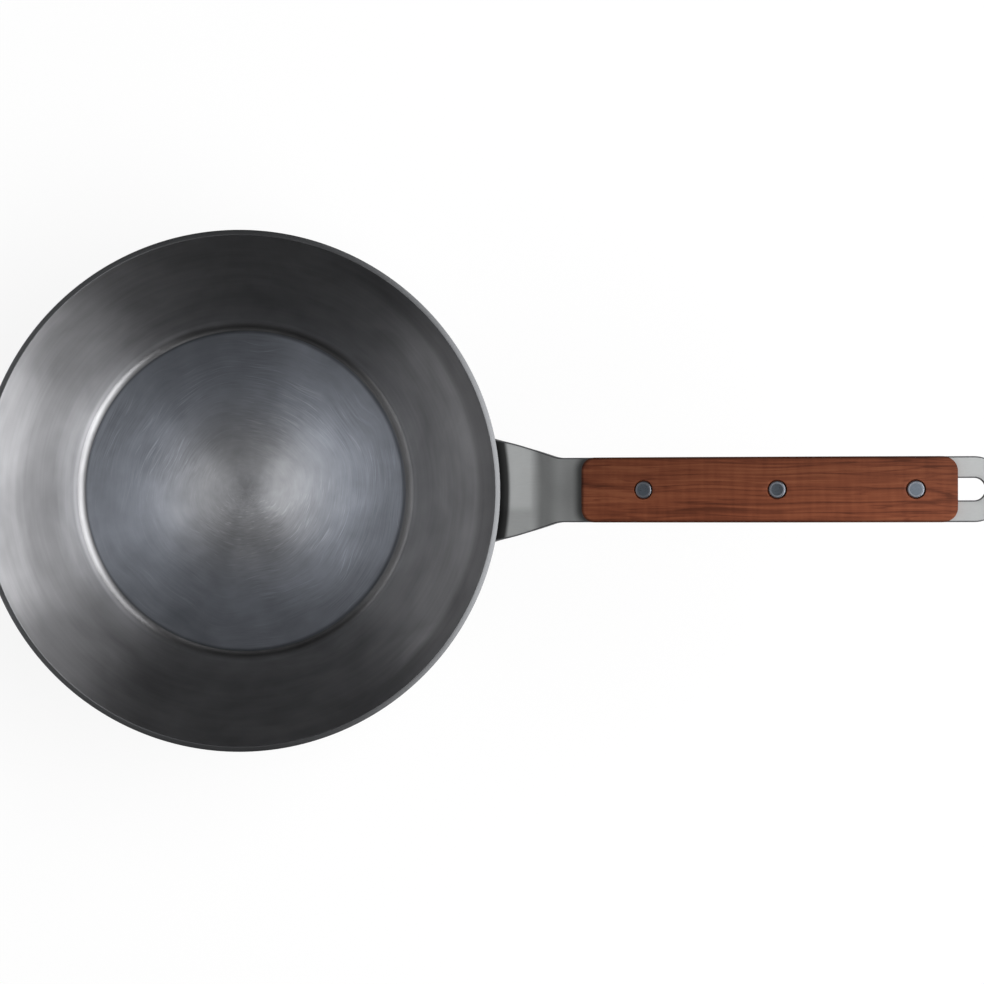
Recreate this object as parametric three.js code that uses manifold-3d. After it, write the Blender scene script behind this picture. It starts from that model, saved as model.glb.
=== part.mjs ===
// A carbon steel saute pan. A flared bowl is pressed from one sheet. A flat steel strap, bent at its foot
// to follow the bowl's wall, is welded on below the rim. It carries two wooden scales, held by rivets.
// Millimetres, +Z up. The origin is the centre of the bowl's flat underside, and the handle runs along +X.
import * as THREE from "three";
import { mergeVertices } from "three/addons/utils/BufferGeometryUtils.js";
import Module from "manifold-3d";

const wasm = await Module();
wasm.setup();
const { degToRad } = THREE.MathUtils;

// Bowl
const RIM_RADIUS = 120; // outer edge of the rim
const RIM_HEIGHT = 54; // outer edge of the rim above the underside
const SHEET = 2.5; // thickness of the bowl's steel
const BASE_RADIUS = 75.5; // flat part of the base
const CORNER_RADIUS = 5; // inside corner between base and wall
const RIM_TILT = degToRad(20); // the ground rim face falls outwards by this much
const RIM_EASE = 0.4; // softening of the rim's two edges

// Strap, as a flat blank and as the bends along it
const STRAP_THICKNESS = 3;
const GRIP_WIDTH = 29.5;
const FOOT_WIDTH = 50; // where the strap lies on the bowl
const FOOT_CORNER = 8; // rounding of the foot's lower corners
const FLARE_ANGLE = degToRad(16.9); // each edge spreads by this much from the grip to the foot
const FLARE_BLEND = 16; // radius that blends the flare into the grip and into the foot
const STRAP_EASE = 0.4; // softening of the strap's long edges
const FOOT_BELOW_RIM = 5.7; // rim edge to the top of the straight foot, measured down the wall
const FOOT_LENGTH = 20; // straight foot, along the wall
const FOOT_BEND_RADIUS = 10;
const NECK_SLOPE = degToRad(7.5); // above the horizontal
const NECK_LENGTH = 9;
const NECK_BEND_RADIUS = 22;
const GRIP_SLOPE = degToRad(27); // where the grip starts
const GRIP_ARC_RADIUS = 470; // the grip curves over until its end is almost level
const WAIST_AFTER_BEND = 7.2; // neck bend to the point where the flare ends
const SLOT_WIDTH = 10; // hanging slot
const SLOT_LENGTH = 20;

// Wooden scales
const SCALE_AFTER_WAIST = 15; // bare steel between the flare and the wood
const SCALE_LENGTH = 168.5; // along the strap's middle
const SCALE_THICKNESS = 8; // along the middle
const SCALE_CROWN = 0.5; // the middle stands this much above the long edges
const SCALE_FRONT_CORNER = 4.5; // rounding of the outline's corners
const SCALE_REAR_CORNER = 6.5;
const SCALE_EDGE_RADIUS = 3; // rounding of the outer edges
const REAR_LEAN_LENGTH = 11; // the wood leans back towards its upright rear end over this length
const STRAP_BEYOND_SCALE = 22.8; // bare steel loop past the wood

// Two-piece rivets: a headed tube from above and a headed pin from below
const RIVET_COUNT = 3;
const RIVET_FROM_FRONT = 29.3; // front end of the wood to the first rivet
const RIVET_FROM_REAR = 17.6; // rear end of the wood to the last rivet
const HEAD_RADIUS = 3.8;
const HEAD_HEIGHT = 1.4;
const HEAD_BEVEL = 0.4;
const HEAD_SUNK = 0.2; // head below the wood's surface
const TUBE_RADIUS = 2.5;
const PIN_RADIUS = 1.5;
const TUBE_ROOF = 2; // solid metal between the tube's bore and the underside of its head
const PIN_TIP_CLEARANCE = 1; // end of the pin to the end of the bore
const TUBE_END_CLEARANCE = 0.6; // end of the tube to the pin's head

// Weld round the foot
const WELD_REACH = 3; // how far it spreads over the bowl's wall
const WELD_SWELL = 0.35; // its face lies this far from a straight bevel towards a quarter round

// Clearances
const SEAT_GAP = 0.3; // between pieces that lie on each other
const RIVET_HOLE_CLEARANCE = 0.25; // round a rivet's tube and pin
const HEAD_RECESS_CLEARANCE = 0.6; // round a rivet's head, which shows as a dark ring

// Fineness of the facets
const BOWL_SEGMENTS = 96;
const RIVET_SEGMENTS = 24;
const ARC_STEPS = 8; // along each bend and rounded corner
const GRIP_STEP = 18; // between stations on the long grip
const STRAP_LANES = 8; // across the strap
const TIP_SWEEP = degToRad(84); // the strap's round end stops just short of a point
const CUT_MARGIN = 2; // how far a cutting tool reaches past what it cuts

// Sizes that follow from the ones above
const OUTER_CORNER_RADIUS = CORNER_RADIUS + SHEET;
const WALL_SLOPE = wallSlope();
const RECESS_RADIUS = HEAD_RADIUS + HEAD_RECESS_CLEARANCE;
const RECESS_DEPTH = HEAD_SUNK + HEAD_HEIGHT + SEAT_GAP;
const HOLE_RADIUS = TUBE_RADIUS + RIVET_HOLE_CLEARANCE;
const BORE_RADIUS = PIN_RADIUS + RIVET_HOLE_CLEARANCE;
const SCALE_SEAT = STRAP_THICKNESS / 2 + SEAT_GAP; // strap's middle to the wood
const SCALE_TOP = SCALE_SEAT + SCALE_THICKNESS; // strap's middle to the outer surface of the wood
const HEAD_TOP = SCALE_TOP - HEAD_SUNK;
const HEAD_UNDERSIDE = HEAD_TOP - HEAD_HEIGHT;

// The strap's spine, from the foot's lower end, as a bend table: each stretch has a length and a turn
const FOOT_BEND_LENGTH = FOOT_BEND_RADIUS * Math.abs(WALL_SLOPE - NECK_SLOPE);
const NECK_BEND_LENGTH = NECK_BEND_RADIUS * Math.abs(GRIP_SLOPE - NECK_SLOPE);
const FOOT_END = FOOT_LENGTH;
const NECK_START = FOOT_END + FOOT_BEND_LENGTH;
const NECK_END = NECK_START + NECK_LENGTH;
const GRIP_START = NECK_END + NECK_BEND_LENGTH;
const WAIST = GRIP_START + WAIST_AFTER_BEND;
const SCALE_START = WAIST + SCALE_AFTER_WAIST;
const SCALE_END = SCALE_START + SCALE_LENGTH;
const STRAP_END = SCALE_END + STRAP_BEYOND_SCALE;
const TIP_CENTRE = STRAP_END - GRIP_WIDTH / 2; // centre of the rounded end and of the slot's outer end
const FLARE_START = WAIST - (FOOT_WIDTH - GRIP_WIDTH) / 2 / Math.tan(FLARE_ANGLE);
const BLEND_REACH = FLARE_BLEND * Math.tan(FLARE_ANGLE / 2); // from the flare's corner to a blend's end
const BEND_TABLE = [
  { length: FOOT_LENGTH, turn: 0 },
  { length: FOOT_BEND_LENGTH, turn: NECK_SLOPE - WALL_SLOPE },
  { length: NECK_LENGTH, turn: 0 },
  { length: NECK_BEND_LENGTH, turn: GRIP_SLOPE - NECK_SLOPE },
  { length: STRAP_END - GRIP_START, turn: -(STRAP_END - GRIP_START) / GRIP_ARC_RADIUS },
];
const FOOT_START = footStart();

const bowlSteel = new THREE.MeshStandardMaterial({ color: 0x55575b, roughness: 0.42, metalness: 1 });
const strapSteel = new THREE.MeshStandardMaterial({ color: 0x9c9d9e, roughness: 0.36, metalness: 1 });
const weldSteel = new THREE.MeshStandardMaterial({ color: 0x77787a, roughness: 0.45, metalness: 1 });
const rivetSteel = new THREE.MeshStandardMaterial({ color: 0xa3a8ad, roughness: 0.3, metalness: 1 });
const wood = new THREE.MeshStandardMaterial({ color: 0x74402f, roughness: 0.55, metalness: 0 });

// The outer wall is the straight line that leaves the outer corner's arc and meets the rim's outer edge.
function wallSlope() {
  const run = RIM_RADIUS - BASE_RADIUS;
  const rise = RIM_HEIGHT - OUTER_CORNER_RADIUS;
  return Math.acos(-OUTER_CORNER_RADIUS / Math.hypot(run, rise)) - Math.atan2(run, rise);
}

// The foot's lower end, on the strap's middle: down the wall from the rim, then out by the gap and half a
// strap.
function footStart() {
  const down = FOOT_BELOW_RIM + FOOT_LENGTH;
  const out = SEAT_GAP + STRAP_THICKNESS / 2;
  return new THREE.Vector2(
    RIM_RADIUS - down * Math.cos(WALL_SLOPE) + out * Math.sin(WALL_SLOPE),
    RIM_HEIGHT - down * Math.sin(WALL_SLOPE) - out * Math.cos(WALL_SLOPE),
  );
}

// Where the spine is, and how steeply it climbs, at a length from the foot's lower end.
function spineAt(length) {
  let { x, y: z } = FOOT_START;
  let slope = WALL_SLOPE;
  let left = length;
  for (const [i, stretch] of BEND_TABLE.entries()) {
    const last = i === BEND_TABLE.length - 1;
    const used = last ? left : Math.min(left, stretch.length);
    const curvature = stretch.length > 0 ? stretch.turn / stretch.length : 0;
    const next = slope + curvature * used;
    if (Math.abs(curvature) < 1e-9) {
      x += used * Math.cos(slope);
      z += used * Math.sin(slope);
    } else {
      x += (Math.sin(next) - Math.sin(slope)) / curvature;
      z += (Math.cos(slope) - Math.cos(next)) / curvature;
    }
    slope = next;
    left -= used;
    if (left <= 0) break;
  }
  return { x, z, slope };
}

// A point of the formed strap, or of what lies on it: along the blank, across it, and above its middle.
// The foot wraps round the bowl's axis, and the wrap fades out halfway along the neck.
function place(along, across, above) {
  const { x, z, slope } = spineAt(along);
  const reach = x - above * Math.sin(slope);
  const height = z + above * Math.cos(slope);
  const flatness = THREE.MathUtils.smoothstep(along, FOOT_END, NECK_START + NECK_LENGTH / 2);
  if (flatness >= 1) return new THREE.Vector3(reach, across, height);
  const radius = x / (1 - flatness);
  const angle = across / radius;
  const fromCentre = radius + reach - x;
  return new THREE.Vector3(
    x - radius + fromCentre * Math.cos(angle),
    fromCentre * Math.sin(angle),
    height,
  );
}

// The frame of a tool or a rivet that stands square on the strap.
function frameAt(along) {
  const { x, z, slope } = spineAt(along);
  const frame = new THREE.Group();
  frame.position.set(x, 0, z);
  frame.rotation.y = -slope;
  frame.updateMatrix();
  return frame;
}

// How far a circle falls away from its tangent at a distance from the point where they touch.
function fallAway(radius, distance) {
  return radius - Math.sqrt(radius ** 2 - Math.min(distance, radius) ** 2);
}

// Half the strap's width along the blank: foot corners, foot, flare, grip and round end.
function strapHalfWidth(along) {
  const foot = FOOT_WIDTH / 2;
  const grip = GRIP_WIDTH / 2;
  const shoulder = FLARE_START - BLEND_REACH;
  const throat = WAIST + BLEND_REACH;
  const blendLength = FLARE_BLEND * Math.sin(FLARE_ANGLE);
  if (along < FOOT_CORNER) return foot - fallAway(FOOT_CORNER, FOOT_CORNER - along);
  if (along < shoulder) return foot;
  if (along < shoulder + blendLength) return foot - fallAway(FLARE_BLEND, along - shoulder);
  if (along < throat - blendLength) return grip + (WAIST - along) * Math.tan(FLARE_ANGLE);
  if (along < throat) return grip + fallAway(FLARE_BLEND, throat - along);
  if (along < TIP_CENTRE) return grip;
  return grip - fallAway(grip, along - TIP_CENTRE);
}

// Evenly spaced values, both ends included.
function steps(from, to, count) {
  return Array.from({ length: count + 1 }, (_, i) => from + ((to - from) * i) / count);
}

// Values that follow a quarter circle which is square to the length at its start.
function quarterArc(from, radius, count) {
  return steps(0, Math.PI / 2, count).map((angle) => from + radius * (1 - Math.cos(angle)));
}

// Sorted values with near repeats left out.
function stationList(values) {
  const sorted = [...values].sort((a, b) => a - b);
  return sorted.filter((value, i) => i === 0 || value - sorted[i - 1] > 1e-3);
}

// A closed solid through rings of points. A ring runs along its underside and back along its top, so point i
// lies under point n - 1 - i, and the two ends are closed by strips between those pairs.
function loft(rings) {
  const size = rings[0].length;
  const last = (rings.length - 1) * size;
  const index = [];
  const quad = (a, b, c, d) => index.push(a, b, c, a, c, d);
  for (let ring = 0; ring + 1 < rings.length; ring++) {
    for (let i = 0; i < size; i++) {
      const here = ring * size + i;
      const beside = ring * size + ((i + 1) % size);
      quad(here, beside, beside + size, here + size);
    }
  }
  for (let i = 0; i < size / 2 - 1; i++) {
    const opposite = size - 1 - i;
    quad(i, opposite, opposite - 1, i + 1);
    quad(last + i, last + i + 1, last + opposite - 1, last + opposite);
  }
  const geometry = new THREE.BufferGeometry().setFromPoints(rings.flat());
  return geometry.setIndex(index);
}

// A body of revolution about Z from a profile of radius and height that starts and ends on the axis.
function revolve(profile, segments) {
  const apart = profile.filter((point, i) => i === 0 || point.distanceTo(profile[i - 1]) > 1e-4);
  return new THREE.LatheGeometry(apart, segments).rotateX(Math.PI / 2);
}

// A geometry as a solid that can be joined and cut.
function solidOf(geometry) {
  const bare = new THREE.BufferGeometry().setAttribute("position", geometry.getAttribute("position"));
  bare.setIndex(geometry.index);
  const merged = mergeVertices(bare, 1e-4);
  const triVerts = new Uint32Array(merged.index.array);
  return new wasm.Manifold(
    new wasm.Mesh({ numProp: 3, vertProperties: merged.attributes.position.array, triVerts }),
  );
}

// A body with tools cut out of it.
function cut(body, tools) {
  let solid = solidOf(body);
  for (const tool of tools) solid = solid.subtract(solidOf(tool));
  const mesh = solid.getMesh();
  const geometry = new THREE.BufferGeometry();
  geometry.setAttribute("position", new THREE.BufferAttribute(new Float32Array(mesh.vertProperties), 3));
  geometry.setIndex(new THREE.BufferAttribute(new Uint32Array(mesh.triVerts), 1));
  return geometry;
}

// A round cutting tool that stands square on the strap, between two heights above its middle.
function drill(along, radius, low, high) {
  const tool = new THREE.CylinderGeometry(radius, radius, high - low, RIVET_SEGMENTS);
  tool.rotateX(Math.PI / 2).translate(0, 0, (low + high) / 2);
  return tool.applyMatrix4(frameAt(along).matrix);
}

// The bowl's section: underside, outer corner, wall, ground rim, and back down the inside.
function bowlProfile() {
  const cornerHeight = OUTER_CORNER_RADIUS;
  const wallAngle = WALL_SLOPE - Math.PI / 2;
  const upWall = new THREE.Vector2(Math.cos(WALL_SLOPE), Math.sin(WALL_SLOPE));
  const overRim = new THREE.Vector2(-Math.cos(RIM_TILT), Math.sin(RIM_TILT));
  const rimFace = SHEET / Math.sin(WALL_SLOPE + RIM_TILT);
  const outerEdge = new THREE.Vector2(RIM_RADIUS, RIM_HEIGHT);
  const innerEdge = outerEdge.clone().addScaledVector(overRim, rimFace);
  const path = new THREE.Path();
  // A line up to a corner, softened, and on in a new direction.
  const ease = (corner, towards, onwards) => {
    const start = corner.clone().addScaledVector(towards, -RIM_EASE);
    const end = corner.clone().addScaledVector(onwards, RIM_EASE);
    path.lineTo(start.x, start.y);
    path.quadraticCurveTo(corner.x, corner.y, end.x, end.y);
  };
  path.moveTo(0, 0);
  path.lineTo(BASE_RADIUS, 0);
  path.absarc(BASE_RADIUS, cornerHeight, OUTER_CORNER_RADIUS, -Math.PI / 2, wallAngle, false);
  ease(outerEdge, upWall, overRim);
  ease(innerEdge, overRim, upWall.clone().negate());
  path.absarc(BASE_RADIUS, cornerHeight, CORNER_RADIUS, wallAngle, -Math.PI / 2, true);
  path.lineTo(0, SHEET);
  return path.getPoints(ARC_STEPS / 2);
}

function bowlGeometry() {
  return revolve(bowlProfile(), BOWL_SEGMENTS);
}

// The strap: a flat blank with softened long edges, bent and wrapped, with its slot and rivet holes.
function strapGeometry() {
  const roundEnd = steps(0, TIP_SWEEP, ARC_STEPS).map((angle) => Math.sin(angle) * (GRIP_WIDTH / 2));
  const stations = stationList([
    ...quarterArc(0, FOOT_CORNER, ARC_STEPS),
    ...steps(FLARE_START - BLEND_REACH, FLARE_START + BLEND_REACH, ARC_STEPS / 2),
    ...steps(FOOT_END, NECK_START, ARC_STEPS),
    ...steps(NECK_START, NECK_END, ARC_STEPS / 2),
    ...steps(NECK_END, GRIP_START, ARC_STEPS),
    ...steps(WAIST - BLEND_REACH, WAIST + BLEND_REACH, ARC_STEPS / 2),
    ...steps(WAIST + BLEND_REACH, TIP_CENTRE, Math.ceil((TIP_CENTRE - WAIST) / GRIP_STEP)),
    ...roundEnd.map((beyond) => TIP_CENTRE + beyond),
  ]);
  const half = STRAP_THICKNESS / 2;
  const rings = stations.map((along) => {
    const width = strapHalfWidth(along);
    const lanes = steps(STRAP_EASE - width, width - STRAP_EASE, STRAP_LANES);
    const section = [
      [-width, STRAP_EASE - half],
      ...lanes.map((across) => [across, -half]),
      [width, STRAP_EASE - half],
      [width, half - STRAP_EASE],
      ...lanes.map((across) => [-across, half]),
      [-width, half - STRAP_EASE],
    ];
    return section.map(([across, above]) => place(along, across, above));
  });
  const holes = rivetStations().map((along) =>
    drill(along, HOLE_RADIUS, -half - CUT_MARGIN, half + CUT_MARGIN),
  );
  return cut(loft(rings), [hangingSlot(), ...holes]);
}

// The slot's cutter: round ends, the outer one concentric with the strap's round end.
function hangingSlot() {
  const radius = SLOT_WIDTH / 2;
  const straight = SLOT_LENGTH - SLOT_WIDTH;
  const depth = STRAP_THICKNESS + 2 * CUT_MARGIN;
  const outline = new THREE.Shape();
  outline.absarc(0, 0, radius, -Math.PI / 2, Math.PI / 2, false);
  outline.absarc(-straight, 0, radius, Math.PI / 2, (3 * Math.PI) / 2, false);
  const slot = new THREE.ExtrudeGeometry(outline, { depth, bevelEnabled: false, curveSegments: ARC_STEPS });
  return slot.translate(0, 0, -depth / 2).applyMatrix4(frameAt(TIP_CENTRE).matrix);
}

// The weld round three sides of the foot: a convex fillet between the foot's edge and the wall.
function weldGeometry() {
  const half = STRAP_THICKNESS / 2;
  const climb = STRAP_THICKNESS - STRAP_EASE;
  const face = steps(0, 1, 3).map((share) => {
    const angle = (share * Math.PI) / 2;
    const out = THREE.MathUtils.lerp(1 - share, Math.cos(angle), WELD_SWELL);
    const down = THREE.MathUtils.lerp(share, Math.sin(angle), WELD_SWELL);
    return [WELD_REACH * out, half - climb * down];
  });
  const section = [[0, half], ...face, [0, half - climb / 2]];
  const rings = footEdge().map(({ along, across, outAlong, outAcross }) =>
    section.map(([out, above]) => {
      const reach = SEAT_GAP + out;
      return place(along + outAlong * reach, across + outAcross * reach, above);
    }),
  );
  return loft(rings);
}

// Points along the foot's edge, down one side, round the lower corners and up the other, each with the
// direction that leads outwards.
function footEdge() {
  const side = steps(FOOT_END, FOOT_CORNER, ARC_STEPS / 2).map((along) => ({
    along,
    across: strapHalfWidth(along),
    outAlong: 0,
    outAcross: 1,
  }));
  const cornerAcross = FOOT_WIDTH / 2 - FOOT_CORNER;
  const corner = steps(0, Math.PI / 2, ARC_STEPS).map((angle) => ({
    along: FOOT_CORNER * (1 - Math.sin(angle)),
    across: cornerAcross + FOOT_CORNER * Math.cos(angle),
    outAlong: -Math.sin(angle),
    outAcross: Math.cos(angle),
  }));
  const bottom = steps(cornerAcross, 0, ARC_STEPS / 2).map((across) => ({
    along: 0,
    across,
    outAlong: -1,
    outAcross: 0,
  }));
  const oneSide = [...side, ...corner.slice(1), ...bottom.slice(1)];
  const otherSide = oneSide
    .slice(0, -1)
    .reverse()
    .map((point) => ({ ...point, across: -point.across, outAcross: -point.outAcross }));
  return [...oneSide, ...otherSide];
}

// The rivets stand evenly between the first and the last.
function rivetStations() {
  return steps(SCALE_START + RIVET_FROM_FRONT, SCALE_END - RIVET_FROM_REAR, RIVET_COUNT - 1);
}

// The rounding of a scale's nearer corners.
function scaleCorner(along) {
  return along < SCALE_LENGTH / 2 ? SCALE_FRONT_CORNER : SCALE_REAR_CORNER;
}

// How far a point of a scale lies inside its outline, a rectangle with round corners.
function insideScale(along, across) {
  const corner = scaleCorner(along);
  const fromEnd = Math.min(along, SCALE_LENGTH - along);
  const fromSide = GRIP_WIDTH / 2 - Math.abs(across);
  if (fromEnd > corner || fromSide > corner) return Math.min(fromEnd, fromSide);
  return corner - Math.hypot(corner - fromEnd, corner - fromSide);
}

// The wood's height over its seat: upright sides, a round edge, and a slight crown across the middle.
function scaleHeight(along, across) {
  const inside = THREE.MathUtils.clamp(insideScale(along, across), 0, SCALE_EDGE_RADIUS);
  const rise = Math.sqrt(SCALE_EDGE_RADIUS ** 2 - (SCALE_EDGE_RADIUS - inside) ** 2);
  const crown = SCALE_CROWN * (1 - ((2 * across) / GRIP_WIDTH) ** 2) * (rise / SCALE_EDGE_RADIUS);
  return SCALE_THICKNESS - SCALE_CROWN - SCALE_EDGE_RADIUS + rise + crown;
}

// A point of a scale. The rear ends of both scales stand in one upright plane, however the strap slopes.
function placeOnScale(along, across, above) {
  const lean = THREE.MathUtils.smoothstep(along, SCALE_LENGTH - REAR_LEAN_LENGTH, SCALE_LENGTH);
  const forward = above * Math.tan(spineAt(SCALE_END).slope) * lean;
  return place(SCALE_START + along + forward, across, above);
}

// One scale, above the strap or below it.
function scaleGeometry(side) {
  const frontEnd = quarterArc(0, SCALE_FRONT_CORNER, ARC_STEPS);
  const rearEnd = quarterArc(0, SCALE_REAR_CORNER, ARC_STEPS).map((fromEnd) => SCALE_LENGTH - fromEnd);
  const middle = steps(frontEnd.at(-1), rearEnd.at(-1), Math.ceil(SCALE_LENGTH / GRIP_STEP));
  const stations = stationList([...frontEnd, ...middle, ...rearEnd]);
  const edge = quarterArc(0, SCALE_EDGE_RADIUS, ARC_STEPS / 2);
  const rings = stations.map((along) => {
    const corner = scaleCorner(along);
    const fromEnd = Math.min(along, SCALE_LENGTH - along, corner);
    const width = GRIP_WIDTH / 2 - fallAway(corner, corner - fromEnd);
    const flank = edge.map((inset) => width - inset);
    const crownLane = (width - SCALE_EDGE_RADIUS) / 2;
    const lanes = [...flank, crownLane, 0, -crownLane, ...flank.map((across) => -across).reverse()];
    const under = [...lanes].reverse().map((across) => [across, 0]);
    const over = lanes.map((across) => [across, scaleHeight(along, across)]);
    return [...under, ...over].map(([across, above]) =>
      placeOnScale(along, side * across, side * (SCALE_SEAT + above)),
    );
  });
  const tools = rivetStations().flatMap((along) => {
    const hole = [side * (SCALE_SEAT - CUT_MARGIN), side * (SCALE_TOP + CUT_MARGIN)];
    const recess = [side * (SCALE_TOP - RECESS_DEPTH), side * (SCALE_TOP + CUT_MARGIN)];
    return [
      drill(along, HOLE_RADIUS, Math.min(...hole), Math.max(...hole)),
      drill(along, RECESS_RADIUS, Math.min(...recess), Math.max(...recess)),
    ];
  });
  return cut(loft(rings), tools);
}

// The rivet's upper half: a head with a bevelled edge on a tube that reaches almost to the lower head.
function rivetTubeGeometry() {
  const end = TUBE_END_CLEARANCE - HEAD_UNDERSIDE;
  const roof = HEAD_UNDERSIDE - TUBE_ROOF;
  const profile = [
    [0, roof],
    [BORE_RADIUS, roof],
    [BORE_RADIUS, end],
    [TUBE_RADIUS, end],
    [TUBE_RADIUS, HEAD_UNDERSIDE],
    [HEAD_RADIUS, HEAD_UNDERSIDE],
    [HEAD_RADIUS, HEAD_TOP - HEAD_BEVEL],
    [HEAD_RADIUS - HEAD_BEVEL, HEAD_TOP],
    [0, HEAD_TOP],
  ];
  return revolve(profile.map(([radius, height]) => new THREE.Vector2(radius, height)), RIVET_SEGMENTS);
}

// The rivet's lower half: the same head on a plain pin that is driven up into the tube.
function rivetPinGeometry() {
  const tip = HEAD_UNDERSIDE - TUBE_ROOF - PIN_TIP_CLEARANCE;
  const profile = [
    [0, -HEAD_TOP],
    [HEAD_RADIUS - HEAD_BEVEL, -HEAD_TOP],
    [HEAD_RADIUS, HEAD_BEVEL - HEAD_TOP],
    [HEAD_RADIUS, -HEAD_UNDERSIDE],
    [PIN_RADIUS, -HEAD_UNDERSIDE],
    [PIN_RADIUS, tip],
    [0, tip],
  ];
  return revolve(profile.map(([radius, height]) => new THREE.Vector2(radius, height)), RIVET_SEGMENTS);
}

function piece(name, geometry, material) {
  const mesh = new THREE.Mesh(geometry, material);
  mesh.name = name;
  return mesh;
}

const pan = new THREE.Group();
pan.add(piece("pan_bowl", bowlGeometry(), bowlSteel));

const handle = new THREE.Group();
handle.add(piece("handle_strap", strapGeometry(), strapSteel));
handle.add(piece("foot_weld", weldGeometry(), weldSteel));
handle.add(piece("upper_scale", scaleGeometry(1), wood));
handle.add(piece("lower_scale", scaleGeometry(-1), wood));
rivetStations().forEach((along, i) => {
  const rivet = frameAt(along);
  rivet.add(piece(`rivet_tube_${i + 1}`, rivetTubeGeometry(), rivetSteel));
  rivet.add(piece(`rivet_pin_${i + 1}`, rivetPinGeometry(), rivetSteel));
  handle.add(rivet);
});
pan.add(handle);

export default pan;
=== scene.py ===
# %% [markdown]
# # A carbon steel saute pan
#
# The pan is a flared bowl of bare steel with a long strap handle that carries two wooden scales. The plain
# solids of its pieces are loaded first, as a frame. Each piece is then modelled again in the same place
# with smooth, fine surfaces, and gets a finish of its own. Lengths in this lesson are in millimetres until
# a piece is finished.

import math

import bmesh
import bpy
from mathutils import Matrix, Vector


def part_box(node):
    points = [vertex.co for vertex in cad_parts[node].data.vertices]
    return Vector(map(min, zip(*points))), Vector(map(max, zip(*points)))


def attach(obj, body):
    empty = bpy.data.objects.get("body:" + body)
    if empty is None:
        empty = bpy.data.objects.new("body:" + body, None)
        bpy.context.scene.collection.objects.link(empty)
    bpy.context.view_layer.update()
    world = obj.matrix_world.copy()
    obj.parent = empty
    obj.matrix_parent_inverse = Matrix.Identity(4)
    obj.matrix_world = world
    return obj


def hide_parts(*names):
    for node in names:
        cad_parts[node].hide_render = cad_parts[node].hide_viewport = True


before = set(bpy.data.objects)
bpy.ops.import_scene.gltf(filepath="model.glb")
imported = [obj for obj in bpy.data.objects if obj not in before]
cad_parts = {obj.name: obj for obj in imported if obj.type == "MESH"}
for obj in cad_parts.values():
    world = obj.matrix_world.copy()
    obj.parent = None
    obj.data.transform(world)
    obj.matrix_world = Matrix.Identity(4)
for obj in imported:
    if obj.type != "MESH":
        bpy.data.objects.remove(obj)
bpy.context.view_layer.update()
scene = bpy.context.scene
MM = 0.001
print("nodes in the frame:", sorted(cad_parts))

# %% [markdown]
# ## The camera
#
# The picture is taken from straight above, with a long lens, so that the rim, the base and the handle show
# almost in plan. A camera with no rotation already looks straight down with +X to the right. It stands
# over the neck of the handle, and the lens follows from how large the rim shows in the picture.

# %% Place the camera
PICTURE_PIXELS = 984
RIM_PIXELS = 522.8  # the rim's outer diameter in the picture
CAMERA_ABOVE_RIM = 1940
CAMERA_ALONG = 116.1  # from the bowl's axis, towards the handle
CAMERA_ACROSS = -0.8
CAMERA_ROLL = math.radians(-0.13)
RIM_RADIUS = 120
SENSOR = 36

rim_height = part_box("pan_bowl")[1].z / MM
rim_share = RIM_PIXELS / PICTURE_PIXELS
lens = bpy.data.cameras.new("camera")
lens.sensor_width = SENSOR
lens.lens = rim_share * SENSOR * CAMERA_ABOVE_RIM / (2 * RIM_RADIUS)
camera = bpy.data.objects.new("camera", lens)
camera.location = Vector((CAMERA_ALONG, CAMERA_ACROSS, rim_height + CAMERA_ABOVE_RIM)) * MM
camera.rotation_euler = (0, 0, CAMERA_ROLL)
scene.collection.objects.link(camera)
scene.camera = camera
print(f"camera {CAMERA_ABOVE_RIM} mm above the rim, lens {lens.lens:.1f} mm")

# %% [markdown]
# ## From a bmesh to a piece
#
# Every piece ends in the same way: it shrinks from millimetres to metres, becomes an object at the origin,
# is shaded smooth except along sharp edges, and takes the place of its plain solid. One function does that
# for all of them.


# %% Finish a shape as a piece of the pan
def finish_piece(name, shape, nodes, sharp_degrees=35):
    bmesh.ops.scale(shape, vec=(MM, MM, MM), verts=shape.verts)
    mesh = bpy.data.meshes.new(name)
    shape.to_mesh(mesh)
    shape.free()
    mesh.shade_smooth()
    mesh.set_sharp_from_angle(angle=math.radians(sharp_degrees))
    piece = bpy.data.objects.new(name, mesh)
    scene.collection.objects.link(piece)
    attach(piece, "root")
    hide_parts(*nodes)
    print(f"{name}: {len(mesh.polygons)} faces, stands for {', '.join(nodes)}")
    return piece


# %% [markdown]
# ## The bowl
#
# The real bowl is pressed from one disc of sheet steel. It could be cut from a cylinder, but its section
# says it all: six corners from the middle of the underside, up the outside, over the ground rim and back
# to the middle of the inside. The corners are rounded while they are still points on a line, and one spin
# about the axis makes the bowl.

# %% Measures of the bowl
RIM_HEIGHT = 54
SHEET = 2.5
BASE_RADIUS = 75.5
CORNER_RADIUS = 5
RIM_TILT = math.radians(20)

outer_corner_radius = CORNER_RADIUS + SHEET
wall_run = RIM_RADIUS - BASE_RADIUS
wall_rise = RIM_HEIGHT - outer_corner_radius
towards_rim = math.acos(-outer_corner_radius / math.hypot(wall_run, wall_rise))
wall_slope = towards_rim - math.atan2(wall_run, wall_rise)
rim_face = SHEET / math.sin(wall_slope + RIM_TILT)
half_turn = math.tan(wall_slope / 2)
print(f"wall at {math.degrees(wall_slope):.1f} degrees, rim face {rim_face:.2f} mm wide")

# %% Draw the bowl's section
RIM_EASE = 0.2


def add_line(shape, points, closed=False):
    """Vertices joined by edges, one after the other."""
    verts = [shape.verts.new(point) for point in points]
    for start, end in zip(verts, verts[1:] + verts[:1] if closed else verts[1:]):
        shape.edges.new((start, end))
    return verts


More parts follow.
